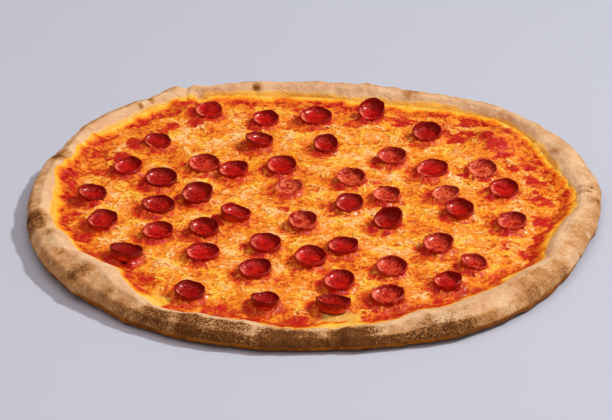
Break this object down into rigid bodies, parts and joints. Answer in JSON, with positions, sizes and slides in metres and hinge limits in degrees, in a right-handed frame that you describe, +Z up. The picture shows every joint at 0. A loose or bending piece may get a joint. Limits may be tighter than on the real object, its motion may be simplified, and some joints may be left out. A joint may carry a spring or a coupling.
{
  "type": "pepperoni pizza",
  "caption": "Whole round thin-crust pizza with a puffed bread rim, tomato sauce, melted cheese and small cupped pepperoni slices.",
  "frame": {"origin": "the middle of the flat base, on the surface that the pizza lies on", "axes": "+Z up out of the toppings; -Y towards the side nearest the viewer in the picture; +X to the viewer's right"},
  "size_m": [0.4573, 0.4524, 0.0229],
  "materials": {
    "baked_dough": "matt baked bread, pale cream to toasted brown",
    "tomato_sauce": "wet, oily red sauce",
    "melted_cheese": "glossy melted cheese over orange oil, lightly toasted",
    "pepperoni": "glossy cured sausage with darker, crisp edges"
  },
  "bodies": {
    "root": {"crust": "baked_dough", "sauce": "tomato_sauce", "cheese": "melted_cheese", "pepperoni_01": "pepperoni", "pepperoni_02": "pepperoni", "pepperoni_03": "pepperoni", "pepperoni_04": "pepperoni", "pepperoni_05": "pepperoni", "pepperoni_06": "pepperoni", "pepperoni_07": "pepperoni", "pepperoni_08": "pepperoni", "pepperoni_09": "pepperoni", "pepperoni_10": "pepperoni", "pepperoni_11": "pepperoni", "pepperoni_12": "pepperoni", "pepperoni_13": "pepperoni", "pepperoni_14": "pepperoni", "pepperoni_15": "pepperoni", "pepperoni_16": "pepperoni", "pepperoni_17": "pepperoni", "pepperoni_18": "pepperoni", "pepperoni_19": "pepperoni", "pepperoni_20": "pepperoni", "pepperoni_21": "pepperoni", "pepperoni_22": "pepperoni", "pepperoni_23": "pepperoni", "pepperoni_24": "pepperoni", "pepperoni_25": "pepperoni", "pepperoni_26": "pepperoni", "pepperoni_27": "pepperoni", "pepperoni_28": "pepperoni", "pepperoni_29": "pepperoni", "pepperoni_30": "pepperoni", "pepperoni_31": "pepperoni", "pepperoni_32": "pepperoni", "pepperoni_33": "pepperoni", "pepperoni_34": "pepperoni", "pepperoni_35": "pepperoni", "pepperoni_36": "pepperoni", "pepperoni_37": "pepperoni", "pepperoni_38": "pepperoni", "pepperoni_39": "pepperoni", "pepperoni_40": "pepperoni", "pepperoni_41": "pepperoni", "pepperoni_42": "pepperoni", "pepperoni_43": "pepperoni", "pepperoni_44": "pepperoni", "pepperoni_45": "pepperoni", "pepperoni_46": "pepperoni", "pepperoni_47": "pepperoni", "pepperoni_48": "pepperoni"}
  },
  "joints": []
}
